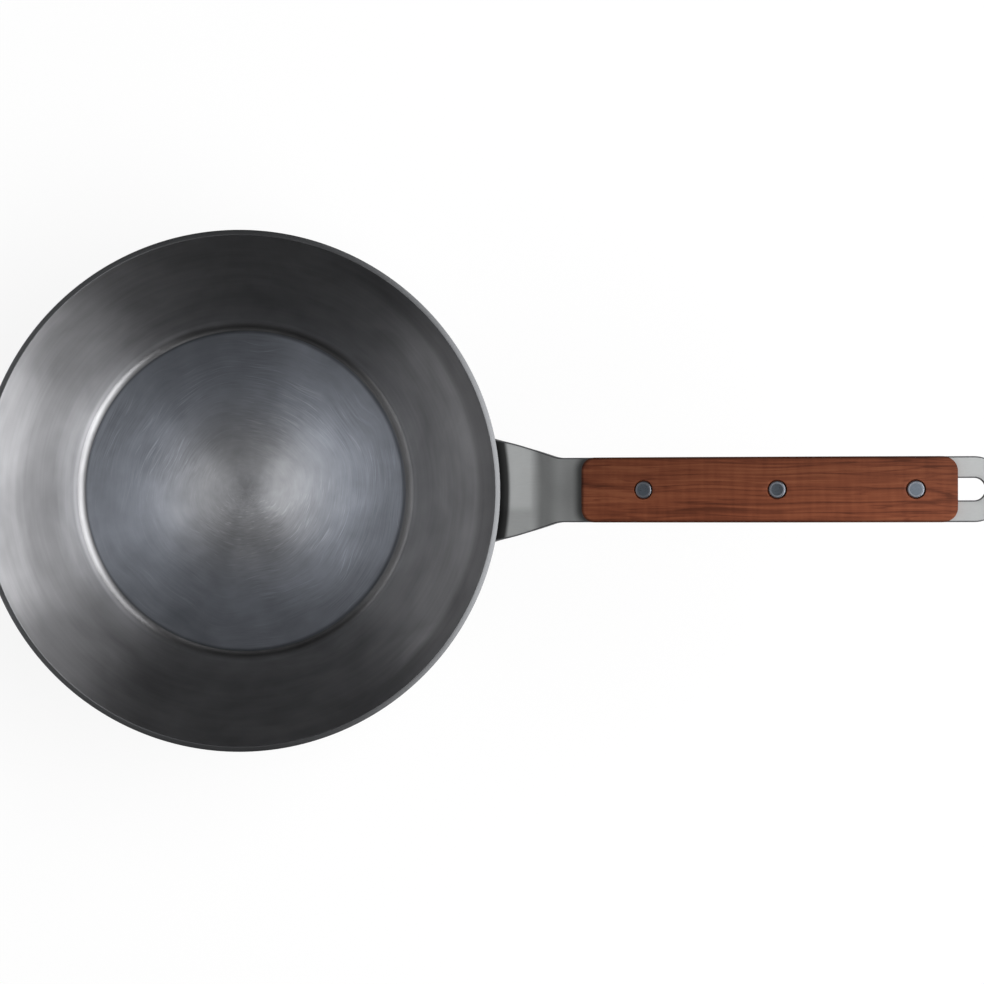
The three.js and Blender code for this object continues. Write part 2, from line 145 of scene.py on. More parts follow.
def bevel(shape, geom, affect, width, segments, clamp):
    bmesh.ops.bevel(
        shape,
        geom=geom,
        offset=width,
        offset_type="OFFSET",
        affect=affect,
        segments=segments,
        profile=0.5,
        material=-1,
        clamp_overlap=clamp,
    )


def round_corner(shape, vert, cut_back, segments):
    """Rounds a corner of a line, starting at a distance from it."""
    bevel(shape, [vert], "VERTICES", cut_back, segments, clamp=False)


bowl = bmesh.new()
section = add_line(
    bowl,
    [
        (0, 0, 0),
        (BASE_RADIUS + outer_corner_radius * half_turn, 0, 0),
        (RIM_RADIUS, 0, RIM_HEIGHT),
        (RIM_RADIUS - rim_face * math.cos(RIM_TILT), 0, RIM_HEIGHT + rim_face * math.sin(RIM_TILT)),
        (BASE_RADIUS + CORNER_RADIUS * half_turn, 0, SHEET),
        (0, 0, SHEET),
    ],
)
round_corner(bowl, section[1], outer_corner_radius * half_turn, segments=10)
round_corner(bowl, section[2], RIM_EASE, segments=4)
round_corner(bowl, section[3], RIM_EASE, segments=4)
round_corner(bowl, section[4], CORNER_RADIUS * half_turn, segments=12)
print(f"section of {len(bowl.verts)} points")

# %% Spin the section into a bowl
SPIN_STEPS = 256
TOLERANCE = 1e-4  # points nearer to each other than this count as one


def spin_section(shape, steps):
    """Spins a section about the upright axis into a closed skin."""
    bmesh.ops.spin(
        shape,
        geom=shape.verts[:] + shape.edges[:],
        cent=(0, 0, 0),
        axis=(0, 0, 1),
        angle=math.tau,
        steps=steps,
        use_merge=True,
    )
    bmesh.ops.remove_doubles(shape, verts=shape.verts, dist=TOLERANCE)
    bmesh.ops.recalc_face_normals(shape, faces=shape.faces)


spin_section(bowl, SPIN_STEPS)
for face in bowl.faces:
    middle = face.calc_center_median()
    on_floor = abs(middle.z - SHEET) < TOLERANCE
    on_rim = middle.z > RIM_HEIGHT - RIM_EASE
    face.material_index = 1 if on_floor else 2 if on_rim else 0
bowl_piece = finish_piece("bowl", bowl, ["pan_bowl"])

# %% [markdown]
# ## The strap's spine
#
# The handle's strap is bent from flat steel. A bend table describes it: a straight foot on the bowl's
# wall, a tight bend, the neck, a second bend, and the grip, which is one gentle arc. The pieces on it
# could be modelled already bent, but bevels and cuts are easy only while they are flat. So the strap, the
# weld and the scales are modelled flat and then laid along this spine.

# %% Write the bend table
STRAP_THICKNESS = 3
FOOT_BELOW_RIM = 5.7
FOOT_LENGTH = 20
FOOT_BEND_RADIUS = 10
NECK_SLOPE = math.radians(7.5)
NECK_LENGTH = 9
NECK_BEND_RADIUS = 22
GRIP_SLOPE = math.radians(27)
GRIP_ARC_RADIUS = 470
SEAT_GAP = 0.3

foot_bend = FOOT_BEND_RADIUS * (wall_slope - NECK_SLOPE)
neck_bend = NECK_BEND_RADIUS * (GRIP_SLOPE - NECK_SLOPE)
neck_start = FOOT_LENGTH + foot_bend
neck_end = neck_start + NECK_LENGTH
grip_start = neck_end + neck_bend
bend_table = [
    (FOOT_LENGTH, 0),
    (foot_bend, -1 / FOOT_BEND_RADIUS),
    (NECK_LENGTH, 0),
    (neck_bend, 1 / NECK_BEND_RADIUS),
    (math.inf, -1 / GRIP_ARC_RADIUS),
]
down_wall = FOOT_BELOW_RIM + FOOT_LENGTH
off_wall = SEAT_GAP + STRAP_THICKNESS / 2
foot_reach = RIM_RADIUS - down_wall * math.cos(wall_slope) + off_wall * math.sin(wall_slope)
foot_height = RIM_HEIGHT - down_wall * math.sin(wall_slope) - off_wall * math.cos(wall_slope)
print(f"neck from {neck_start:.1f} to {neck_end:.1f} mm, grip from {grip_start:.1f} mm")


# %% Follow the spine
def spine_at(along):
    """Reach from the axis, height and slope of the strap's middle at a length from the foot's lower end."""
    reach, height, slope = foot_reach, foot_height, wall_slope
    for length, curvature in bend_table:
        used = min(along, length)
        turned = slope + curvature * used
        if curvature:
            reach += (math.sin(turned) - math.sin(slope)) / curvature
            height += (math.cos(slope) - math.cos(turned)) / curvature
        else:
            reach += used * math.cos(slope)
            height += used * math.sin(slope)
        slope = turned
        along -= used
        if along <= 0:
            break
    return reach, height, slope


grip_reach, grip_height, _ = spine_at(grip_start)
print(f"the grip starts {grip_reach:.1f} mm from the axis, {grip_height:.1f} mm up")


# %% Lay a flat shape along the spine
def smooth_step(value, low, high):
    share = min(max((value - low) / (high - low), 0), 1)
    return share * share * (3 - 2 * share)


def lay_point(along, across, above):
    """The foot wraps round the bowl's axis, and the wrap fades out halfway along the neck."""
    reach, height, slope = spine_at(along)
    out = reach - above * math.sin(slope)
    up = height + above * math.cos(slope)
    flatness = smooth_step(along, FOOT_LENGTH, neck_start + NECK_LENGTH / 2)
    if flatness == 1:
        return Vector((out, across, up))
    radius = reach / (1 - flatness)
    from_centre = radius + out - reach
    angle = across / radius
    return Vector((reach - radius + from_centre * math.cos(angle), from_centre * math.sin(angle), up))


def lay_on_spine(shape):
    for vert in shape.verts:
        vert.co = lay_point(*vert.co)


def cut_across(shape, direction, places):
    """Edges across a flat shape, so that it can bend there."""
    for place in places:
        bmesh.ops.bisect_plane(
            shape,
            geom=shape.verts[:] + shape.edges[:] + shape.faces[:],
            plane_co=Vector(direction) * place,
            plane_no=direction,
            dist=TOLERANCE,
        )


def evenly(start, end, spacing):
    count = max(1, math.ceil((end - start) / spacing))
    return [start + (end - start) * step / count for step in range(count + 1)]


# %% [markdown]
# ## The strap
#
# A maker cuts the blank from plate, eases its edges and bends it. The mesh goes the same way. The outline
# starts as eight corners, rounded as the bowl's section was, with a slot and three rivet holes inside it.
# The outline is filled, extruded to the plate's thickness and bevelled, cut across where it has to bend,
# and laid along the spine.

# %% Measures of the blank
GRIP_WIDTH = 29.5
FOOT_WIDTH = 50
FOOT_CORNER = 8
FLARE_ANGLE = math.radians(16.9)
FLARE_BLEND = 16
WAIST_AFTER_BEND = 7.2
SCALE_AFTER_WAIST = 15
SCALE_LENGTH = 168.5
STRAP_BEYOND_SCALE = 22.8
SLOT_WIDTH = 10
SLOT_LENGTH = 20
RIVET_COUNT = 3
RIVET_FROM_FRONT = 29.3
RIVET_FROM_REAR = 17.6
RIVET_HOLE_RADIUS = 2.75

waist = grip_start + WAIST_AFTER_BEND
flare_start = waist - (FOOT_WIDTH - GRIP_WIDTH) / 2 / math.tan(FLARE_ANGLE)
scale_start = waist + SCALE_AFTER_WAIST
scale_end = scale_start + SCALE_LENGTH
strap_end = scale_end + STRAP_BEYOND_SCALE
slot_end = strap_end - GRIP_WIDTH / 2 + SLOT_WIDTH / 2
rivet_pitch = (SCALE_LENGTH - RIVET_FROM_FRONT - RIVET_FROM_REAR) / (RIVET_COUNT - 1)
rivet_places = [scale_start + RIVET_FROM_FRONT + rivet_pitch * i for i in range(RIVET_COUNT)]
print(f"blank {strap_end:.1f} mm long, wood from {scale_start:.1f} to {scale_end:.1f} mm")

# %% Draw the blank
A_HAIR = 0.15  # keeps two rounded corners from meeting in one point


def add_ring(shape, along, radius, segments=48):
    """A circle of edges on a flat shape."""
    place = Matrix.Translation((along, 0, 0))
    ring = bmesh.ops.create_circle(shape, segments=segments, radius=radius, matrix=place)["verts"]
    return list({edge for vert in ring for edge in vert.link_edges})


def fill_outline(shape):
    """Fills flat outlines, with the ones inside left as holes."""
    bmesh.ops.triangle_fill(shape, use_beauty=True, edges=shape.edges[:], normal=(0, 0, 1))


def thicken(shape, faces, height):
    """Extrudes flat faces upwards."""
    lifted = bmesh.ops.extrude_face_region(shape, geom=faces)["geom"]
    bmesh.ops.translate(
        shape,
        vec=(0, 0, height),
        verts=[item for item in lifted if isinstance(item, bmesh.types.BMVert)],
    )
    bmesh.ops.recalc_face_normals(shape, faces=shape.faces)


strap = bmesh.new()
foot, grip = FOOT_WIDTH / 2, GRIP_WIDTH / 2
corners = add_line(
    strap,
    [
        (0, -foot, 0),
        (flare_start, -foot, 0),
        (waist, -grip, 0),
        (strap_end, -grip, 0),
        (strap_end, grip, 0),
        (waist, grip, 0),
        (flare_start, foot, 0),
        (0, foot, 0),
    ],
    closed=True,
)
blend_reach = FLARE_BLEND * math.tan(FLARE_ANGLE / 2)
rounding = [FOOT_CORNER, blend_reach, blend_reach, grip - A_HAIR]
for corner, cut_back in zip(corners, rounding + rounding[::-1]):
    round_corner(strap, corner, cut_back, segments=16)
print(f"outline of {len(strap.verts)} points")


# %% Cut the slot and the holes
def add_rectangle(shape, start, end, half):
    """A closed outline of four corners, as wide as twice the half."""
    corners = [(start, -half, 0), (end, -half, 0), (end, half, 0), (start, half, 0)]
    return add_line(shape, corners, closed=True)


half_slot = SLOT_WIDTH / 2
for corner in add_rectangle(strap, slot_end - SLOT_LENGTH, slot_end, half_slot):
    round_corner(strap, corner, half_slot - A_HAIR, segments=10)
for place in rivet_places:
    add_ring(strap, place, RIVET_HOLE_RADIUS)
fill_outline(strap)
print(f"flat blank of {len(strap.faces)} faces")

# %% Give the blank its thickness and ease its edges
STRAP_EASE = 0.6
FLAT = 0.97  # a face lies flat if its normal points up or down by at least this much

thicken(strap, strap.faces[:], STRAP_THICKNESS)
bmesh.ops.translate(strap, vec=(0, 0, -STRAP_THICKNESS / 2), verts=strap.verts)


def sharp_edges(shape, degrees=60):
    angle = math.radians(degrees)
    return [edge for edge in shape.edges if edge.is_manifold and edge.calc_face_angle() > angle]


def ease_edges(shape, edges, width, segments, clamp=True):
    """Rounds edges of a solid. A clamp narrows the rounding if short edges leave no room for it."""
    bevel(shape, edges, "EDGES", width, segments, clamp)


ease_edges(strap, sharp_edges(strap), STRAP_EASE, segments=3, clamp=False)
for face in strap.faces:
    face.material_index = 0 if abs(face.normal.z) > FLAT else 1
print(f"blank has {len(strap.faces)} faces before it is bent")

# %% Bend the strap
ALONG = (1, 0, 0)
ACROSS = (0, 1, 0)
ends = [0, FOOT_LENGTH, neck_start, neck_end, grip_start, strap_end]
spacings = [2, 0.5, 1.5, 0.5, 5]  # close where the strap bends tightly
for start, end, spacing in zip(ends, ends[1:], spacings):
    cut_across(strap, ALONG, evenly(start, end, spacing))
cut_across(strap, ACROSS, evenly(-foot, foot, spacing=3))
lay_on_spine(strap)
strap_piece = finish_piece("strap", strap, ["handle_strap"])

# %% [markdown]
# ## The wooden scales
#
# Each scale is a slab of hardwood with rounded corners, softly rounded outer edges and a slight crown,
# drilled for three rivets whose heads sit in wider recesses. It could be a bevelled box, but the holes and
# the crown need edges to hang on. So the scale starts as an outline with rings for the holes and the
# recesses, is thickened in two steps so that the recesses keep a floor, and is rounded, crowned and laid
# along the spine last.

# %% Measures of a scale
SCALE_THICKNESS = 8
SCALE_FRONT_CORNER = 6
SCALE_REAR_CORNER = 6.5
HEAD_RADIUS = 3.8
HEAD_HEIGHT = 1.4
HEAD_SUNK = 0.2
RECESS_RADIUS = 4.4

scale_seat = STRAP_THICKNESS / 2 + SEAT_GAP
scale_top = scale_seat + SCALE_THICKNESS
recess_depth = HEAD_SUNK + HEAD_HEIGHT + SEAT_GAP
print(f"wood {scale_seat:.1f} to {scale_top:.1f} mm off the strap's middle, recess {recess_depth:.1f} mm")

# %% Shape one scale while it is flat
NO_ANGLE = 1e-3  # faces that meet at less than this lie in one plane


def near_rivet(face, radius):
    middle = face.calc_center_median()
    return any(math.hypot(middle.x - place, middle.y) < radius for place in rivet_places)


def at_height(edges, height):
    return [edge for edge in edges if all(abs(vert.co.z - height) < TOLERANCE for vert in edge.verts)]


def flat_scale():
    """A scale before it is bent, with its seat at height 0."""
    shape = bmesh.new()
    outline = add_rectangle(shape, scale_start, scale_end, grip)
    front, rear = SCALE_FRONT_CORNER, SCALE_REAR_CORNER
    for corner, cut_back in zip(outline, [front, rear, rear, front]):
        round_corner(shape, corner, cut_back, segments=12)
    recesses = [add_ring(shape, place, RECESS_RADIUS) for place in rivet_places]
    fill_outline(shape)
    for place, recess in zip(rivet_places, recesses):
        hole = add_ring(shape, place, RIVET_HOLE_RADIUS)
        bmesh.ops.bridge_loops(shape, edges=recess + hole)
    floor = SCALE_THICKNESS - recess_depth
    thicken(shape, shape.faces[:], floor)
    upper = [face for face in shape.faces if face.normal.z > FLAT and not near_rivet(face, RECESS_RADIUS)]
    thicken(shape, upper, recess_depth)
    seam = [edge for edge in shape.edges if edge.is_manifold and edge.calc_face_angle() < NO_ANGLE]
    bmesh.ops.dissolve_edges(shape, edges=at_height(seam, floor), use_verts=False)
    return shape


def edges_at(shape, height, round_rivets):
    """Sharp edges in one plane, either round the rivets or round the outline."""
    level = at_height(sharp_edges(shape), height)
    return [edge for edge in level if near_rivet(edge.link_faces[0], 2 * RECESS_RADIUS) == round_rivets]


# %% Round, crown and bend the two scales
SCALE_EDGE_RADIUS = 3
SEAT_EASE = 0.25
RECESS_EASE = 0.2
SCALE_CROWN = 0.5
REAR_LEAN_LENGTH = 11


def crown(shape):
    """The surface falls away from the middle towards the long edges."""
    for vert in shape.verts:
        vert.co.z -= SCALE_CROWN * (vert.co.y / grip) ** 2 * vert.co.z / SCALE_THICKNESS


rear_slope = spine_at(scale_end)[2]


def lean_rear_end(shape):
    """The rear ends of both scales stand in one upright plane, however the strap slopes."""
    for vert in shape.verts:
        lean = smooth_step(vert.co.x, scale_end - REAR_LEAN_LENGTH, scale_end)
        vert.co.x += vert.co.z * math.tan(rear_slope) * lean


def scale_piece(name, node, half_turned):
    shape = flat_scale()
    ease_edges(shape, edges_at(shape, SCALE_THICKNESS, round_rivets=False), SCALE_EDGE_RADIUS, segments=8)
    ease_edges(shape, edges_at(shape, SCALE_THICKNESS, round_rivets=True), RECESS_EASE, segments=2)
    ease_edges(shape, edges_at(shape, 0, round_rivets=False), SEAT_EASE, segments=2)
    cut_across(shape, ALONG, evenly(scale_start, scale_end, spacing=3))
    cut_across(shape, ACROSS, evenly(-grip, grip, spacing=2.5))
    crown(shape)
    bmesh.ops.translate(shape, vec=(0, 0, scale_seat), verts=shape.verts)
    if half_turned:
        bmesh.ops.rotate(shape, cent=(0, 0, 0), matrix=Matrix.Rotation(math.pi, 3, "X"), verts=shape.verts)
    lean_rear_end(shape)
    lay_on_spine(shape)
    return finish_piece(name, shape, [node])


upper_scale = scale_piece("upper_scale_wood", "upper_scale", half_turned=False)
lower_scale = scale_piece("lower_scale_wood", "lower_scale", half_turned=True)

# %% [markdown]
# ## The rivets
#
# Each rivet is a pair: a headed tube pushed in from above and a headed pin driven into it from below. They
# could be cylinders set on each other, but those would lie inside one another and keep hard edges. Both
# are turned parts, so each is one section, with its head's corner rounded, spun about the rivet's own
# axis. The pair is then stood square on the strap.

# %% Turn a rivet half and stand it on the strap
HEAD_BEVEL = 0.5
HEAD_RING = 1.1  # width of the flat ring at the head's edge
RIVET_STEPS = 64


def rivet_half(name, node, along, points, bevelled):
    shape = bmesh.new()
    section = add_line(shape, [(radius, 0, height) for radius, height in points])
    round_corner(shape, section[bevelled], HEAD_BEVEL, segments=5)
    spin_section(shape, RIVET_STEPS)
    for face in shape.faces:
        face.material_index = 1 if face.calc_center_median().xy.length > HEAD_RADIUS - HEAD_RING else 0
    reach, height, slope = spine_at(along)
    stand = Matrix.Translation((reach, 0, height)) @ Matrix.Rotation(-slope, 4, "Y")
    bmesh.ops.transform(shape, matrix=stand, verts=shape.verts)
    return finish_piece(name, shape, [node])


# %% Make the three rivets
TUBE_RADIUS = 2.5
PIN_RADIUS = 1.5
BORE_RADIUS = 1.75
TUBE_ROOF = 2
PIN_TIP_CLEARANCE = 1
TUBE_END_CLEARANCE = 0.6
HEAD_DISH = 0.12  # the middle of a head lies a little lower than its edge

head_top = scale_top - HEAD_SUNK
head_underside = head_top - HEAD_HEIGHT
bore_roof = head_underside - TUBE_ROOF
tube_section = [
    (0, bore_roof),
    (BORE_RADIUS, bore_roof),
    (BORE_RADIUS, TUBE_END_CLEARANCE - head_underside),
    (TUBE_RADIUS, TUBE_END_CLEARANCE - head_underside),
    (TUBE_RADIUS, head_underside),
    (HEAD_RADIUS, head_underside),
    (HEAD_RADIUS, head_top),
    (HEAD_RADIUS - HEAD_RING, head_top),
    (0, head_top - HEAD_DISH),
]
pin_section = [
    (0, HEAD_DISH - head_top),
    (HEAD_RADIUS - HEAD_RING, -head_top),
    (HEAD_RADIUS, -head_top),
    (HEAD_RADIUS, -head_underside),
    (PIN_RADIUS, -head_underside),
    (PIN_RADIUS, bore_roof - PIN_TIP_CLEARANCE),
    (0, bore_roof - PIN_TIP_CLEARANCE),
]
rivets = []
for number, place in enumerate(rivet_places, start=1):
    tube, pin = f"rivet_tube_{number}", f"rivet_pin_{number}"
    rivets.append(rivet_half(f"rivet_head_{number}", tube, place, tube_section, bevelled=6))
    rivets.append(rivet_half(f"rivet_back_{number}", pin, place, pin_section, bevelled=2))

# %% [markdown]
# ## The weld
#
# The foot is welded to the bowl along its two sides and its lower edge. A weld is a bead of even section.
# A curve with that profile could draw it, but a face that is pushed and turned keeps its section square to
# each run. So one small face beside the foot's edge goes straight down one side, round the corner with a
# spin, across, round the next corner and up the other side. Laying it on the spine wraps it round the
# bowl.

# %% Draw the bead's section
WELD_REACH = 3
WELD_SWELL = 0.35
FACE_POINTS = 6

half_strap = STRAP_THICKNESS / 2
weld_climb = STRAP_THICKNESS - STRAP_EASE
weld = bmesh.new()
bead = [(0, half_strap)]
for step in range(FACE_POINTS + 1):
    share = step / FACE_POINTS
    angle = share * math.pi / 2
    out = (1 - share) + WELD_SWELL * (math.cos(angle) - (1 - share))
    down = share + WELD_SWELL * (math.sin(angle) - share)
    bead.append((WELD_REACH * out, half_strap - weld_climb * down))
shoulder = flare_start - blend_reach
foot_top = grip + (waist - FOOT_LENGTH) * math.tan(FLARE_ANGLE)
start_face = weld.faces.new(
    [weld.verts.new((FOOT_LENGTH, foot_top + SEAT_GAP + out, above)) for out, above in bead]
)
print(f"bead {WELD_REACH} mm wide and {weld_climb:.1f} mm high, drawn with {len(bead)} points")

# %% Push the bead round the foot
flare_run = Vector((shoulder - FOOT_LENGTH, foot - foot_top, 0))
side_run = Vector((FOOT_CORNER - shoulder, 0, 0))
cross_run = Vector((0, 2 * FOOT_CORNER - FOOT_WIDTH, 0))


def push(shape, face, run):
    """Extrudes the end face along a straight run and gives the new end face."""
    made = bmesh.ops.extrude_face_region(shape, geom=[face])["geom"]
    ends = [item for item in made if isinstance(item, bmesh.types.BMFace)]
    bmesh.ops.translate(shape, vec=run, verts=ends[0].verts)
    return ends[0]


def turn(shape, face, centre):
    """Spins the end face a quarter turn round a corner of the foot and gives the new end face."""
    made = bmesh.ops.spin(
        shape, geom=[face], cent=centre, axis=(0, 0, 1), angle=math.pi / 2, steps=16, use_merge=False
    )["geom_last"]
    return [item for item in made if isinstance(item, bmesh.types.BMFace)][0]


end_face = push(weld, start_face, flare_run)
end_face = push(weld, end_face, side_run)
end_face = turn(weld, end_face, (FOOT_CORNER, foot - FOOT_CORNER, 0))
end_face = push(weld, end_face, cross_run)
end_face = turn(weld, end_face, (FOOT_CORNER, FOOT_CORNER - foot, 0))
end_face = push(weld, end_face, -side_run)
end_face = push(weld, end_face, Vector((FOOT_LENGTH - shoulder, foot - foot_top, 0)))
bmesh.ops.recalc_face_normals(weld, faces=weld.faces)
cut_across(weld, ALONG, evenly(FOOT_CORNER, FOOT_LENGTH, spacing=0.6))
cut_across(weld, ACROSS, evenly(FOOT_CORNER - foot, foot - FOOT_CORNER, spacing=0.6))
lay_on_spine(weld)
weld_piece = finish_piece("foot_weld_bead", weld, ["foot_weld"])

# %% [markdown]
# ## Finishes as expressions
#
# A finish is a material made of nodes. Wiring nodes one by one hides the idea, so a small class wraps a
# socket and lets plain arithmetic add the Math nodes, and one method makes every other node. Patterns read
# Object coordinates, which are metres from the bowl's axis here, because every piece sits at the origin.


# %% A socket that can be added and multiplied
class Value:
    def __init__(self, finish, socket):
        self.finish = finish
        self.socket = socket

    def math(self, operation, first, second=0.0):
        return self.finish.node("ShaderNodeMath", {"operation": operation}, {0: first, 1: second})

    def __add__(self, other):
        return self.math("ADD", self, other)

    def __radd__(self, other):
        return self.math("ADD", other, self)

    def __sub__(self, other):
        return self.math("SUBTRACT", self, other)

    def __rsub__(self, other):
        return self.math("SUBTRACT", other, self)

    def __mul__(self, other):
        return self.math("MULTIPLY", self, other)

    def __rmul__(self, other):
        return self.math("MULTIPLY", other, self)

    def __abs__(self):
        return self.math("ABSOLUTE", self)

    def at_least(self, low):
        return self.math("MAXIMUM", self, low)

    def root(self):
        return self.math("SQRT", self)


# %% A material whose nodes come from one method
class Finish:
    def __init__(self, name, constants):
        self.material = bpy.data.materials.new(name)
        self.material.use_nodes = True
        self.tree = self.material.node_tree
        self.shader = self.tree.nodes["Principled BSDF"]
        for socket, value in constants.items():
            self.shader.inputs[socket].default_value = value

    def put(self, value, socket):
        if isinstance(value, Value):
            self.tree.links.new(value.socket, socket)
        else:
            socket.default_value = value

    def node(self, kind, settings, inputs, output=0):
        made = self.tree.nodes.new(kind)
        for name, value in settings.items():
            if name == "stops":
                stops = made.color_ramp.elements
                while len(stops) < len(value):
                    stops.new(1.0)
                for stop, (position, colour) in zip(stops, value):
                    stop.position = position
                    stop.color = colour
            else:
                setattr(made, name, value)
        for name, value in inputs.items():
            self.put(value, made.inputs[name])
        return Value(self, made.outputs[output])

    def position(self, turn=(0, 0, 0), stretch=(1, 1, 1)):
        """Object coordinates, turned and stretched."""
        plain = self.node("ShaderNodeTexCoord", {}, {}, "Object")
        turned = self.node("ShaderNodeMapping", {}, {"Vector": plain, "Rotation": turn})
        return self.node("ShaderNodeVectorMath", {"operation": "MULTIPLY"}, {0: turned, 1: stretch})

    def part(self, vector, axis):
        """One coordinate of a vector."""
        return self.node("ShaderNodeSeparateXYZ", {}, {0: vector}, axis)

    def noise(self, vector, scale=1.0, detail=2.0):
        return self.node("ShaderNodeTexNoise", {}, {"Vector": vector, "Scale": scale, "Detail": detail})

    def between(self, value, low, high, start=0.0, end=1.0):
        """A smooth step from start to end as a value passes from low to high."""
        return self.node(
            "ShaderNodeMapRange",
            {"interpolation_type": "SMOOTHSTEP"},
            {"Value": value, "From Min": low, "From Max": high, "To Min": start, "To Max": end},
        )

    def peak(self, value, rise, fall, top=1.0):
        """A smooth rise from 0 to a top and a smooth fall back to 0, as a value grows."""
        return self.between(value, *rise) * self.between(value, *fall, top, 0.0)

    def mix(self, share, first, second):
        """A colour between two colours."""
        return self.node("ShaderNodeMix", {"data_type": "RGBA"}, {"Factor": share, 6: first, 7: second}, 2)

    def tint(self, colour, value):
        """A colour made lighter or darker by a value."""
        grey = self.node("ShaderNodeCombineColor", {}, {0: value, 1: value, 2: value})
        product = {"data_type": "RGBA", "blend_type": "MULTIPLY"}
        return self.node("ShaderNodeMix", product, {0: 1.0, 6: colour, 7: grey}, 2)

    def bump(self, height, depth):
        """Fine relief, as deep as given in millimetres."""
        return self.node("ShaderNodeBump", {}, {"Strength": 1.0, "Distance": depth * MM, "Height": height})

    def blend(self, share, other):
        """Shows another shader in place of the finish, by a share from 0 to 1."""
        own = Value(self, self.shader.outputs[0])
        surface = self.node("ShaderNodeMixShader", {}, {0: share, 1: own, 2: other})
        self.put(surface, self.tree.nodes["Material Output"].inputs["Surface"])

    def count(self, what):
        print(f"{what}: {len(self.tree.nodes)} nodes")

    def shade(self, **links):
        """Feeds the shader's sockets, named in words joined by underscores."""
        for name, value in links.items():
            self.put(value, self.shader.inputs[name.replace("_", " ").title()])
        self.count(self.material.name)
        return self.material


# %% Colours as picture values
def srgb(red, green, blue):
    """A colour as picture values from 0 to 255."""
    channels = [value / 255 for value in (red, green, blue)]
    return [c / 12.92 if c <= 0.04045 else ((c + 0.055) / 1.055) ** 2.4 for c in channels] + [1.0]


# %% [markdown]
# ## Bare steel, brushed in circles
#
# The bowl was brushed while it turned, so its strokes are rings, and on the floor the light gathers into a
# bow tie. A plain reflection would only give a round glow. An anisotropic one gives the bow tie: with
# nothing in the Tangent socket it follows circles about the piece's own axis, and a quarter turn of it
# spreads the light across the strokes. Noise that changes fast with the radius and slowly with the
# direction draws the strokes, and a slow noise pushes them in and out a little.

# %% Patterns about the bowl's axis
SPREAD_ACROSS_STROKES = 0.25  # a quarter turn
WANDER_PER_METRE = 22.0  # features of the slow noise that pushes rings in and out
NOISE_SPREAD = 4  # noise strays about a quarter from its middle value, and this makes it about 1


def from_axis(finish):
    """Distance from the bowl's axis in millimetres, and the direction as two values."""
    flat = finish.position(stretch=(1 / MM, 1 / MM, 0))
    radius = finish.node("ShaderNodeVectorMath", {"operation": "LENGTH"}, {0: flat}, "Value")
    direction = finish.node("ShaderNodeVectorMath", {"operation": "NORMALIZE"}, {0: flat})
    return radius, finish.part(direction, "X"), finish.part(direction, "Y")


def toward(finish, degrees):
    """How far a point lies to one side of the axis, from -1 to 1. The handle is at 0 degrees."""
    ahead, aside = from_axis(finish)[1:]
    angle = math.radians(degrees)
    return ahead * math.cos(angle) + aside * math.sin(angle)


def ring_noise(finish, per_millimetre, breaks, detail=2.0, wander=0.0):
    """Noise in rings about the axis, broken up along each ring. The rings wander by some millimetres."""
    radius, ahead, aside = from_axis(finish)
    if wander:
        slow = finish.noise(finish.position(), WANDER_PER_METRE, detail=1)
        radius = radius + (slow - 0.5) * (NOISE_SPREAD * wander)
    places = {0: radius * per_millimetre, 1: ahead * breaks, 2: aside * breaks}
    return finish.noise(finish.node("ShaderNodeCombineXYZ", {}, places), detail=detail)


# %% [markdown]
# ## The bowl's floor
#
# The strokes gather in places, where the floor was scoured harder. Under them the steel is neutral near the
# middle and bluish towards the corner, and its colour is lighter near the middle and darker towards the
# corner. Painted glints make it brighter on the handle's side and in a spot just beside the middle there,
# and turn the bow tie a little, and painted shade dims one side. All of it could be painted on a picture,
# but noise and smooth steps need no file and stay sharp from near by. Each mark is one step over the
# radius or the direction, and their product tints the steel. Right in the middle the strokes run every
# way, so a second shader without any direction takes over there.

# %% Strokes on the floor
floor_finish = Finish(
    "floor_brushed_in_circles",
    {"Metallic": 1.0, "Anisotropic": 0.8, "Anisotropic Rotation": SPREAD_ACROSS_STROKES},
)
fine_rings = ring_noise(floor_finish, per_millimetre=1.8, breaks=4.0, wander=2.0)
broad_rings = ring_noise(floor_finish, per_millimetre=0.3, breaks=3.0, wander=5.0)
long_rings = ring_noise(floor_finish, per_millimetre=1.2, breaks=3.0, detail=1, wander=6.0)
scratches = floor_finish.between(long_rings, 0.62, 0.72)
patches = floor_finish.noise(floor_finish.position(), scale=60, detail=3)
slow_patches = floor_finish.noise(floor_finish.position(), scale=24, detail=1)
scoured_places = floor_finish.between(slow_patches, 0.4, 0.62)
strokes = (0.25 + scoured_places) * (fine_rings * 0.45 + scratches * 0.25 - 0.22)
shine = 0.54 + strokes + broad_rings * 0.3 + patches * 0.6
floor_finish.count("strokes on the floor")

# %% Wear and painted glints on the floor
# The side where painted shade dims the floor.
FLOOR_SHADE_SIDE = 232  # in degrees from the handle

radius, ahead, aside = from_axis(floor_finish)
bright_ring = floor_finish.between(radius, 20, 72, 1.22, 0.66)
# Painted glint: the floor is tinted lighter on the handle's side, so that its glint shines brighter there.
painted_glint_by_handle = floor_finish.between(radius * ahead, -5, 40, 0.95, 1.26)
dull_centre = floor_finish.between(radius, 0, 10, 0.78, 1.0)
leaning = radius + ahead * 0.6
dark_line = floor_finish.between(leaning, BASE_RADIUS - 1.9, BASE_RADIUS - 0.1, 1.0, 0.4)
# Painted glint and shade: the bow tie is turned a little across the axis, and one side is painted darker.
painted_glint_turn = ahead * aside * 0.3
floor_painted_shade = floor_finish.between(toward(floor_finish, FLOOR_SHADE_SIDE), 0.85, 1.0, 0.0, 0.28)
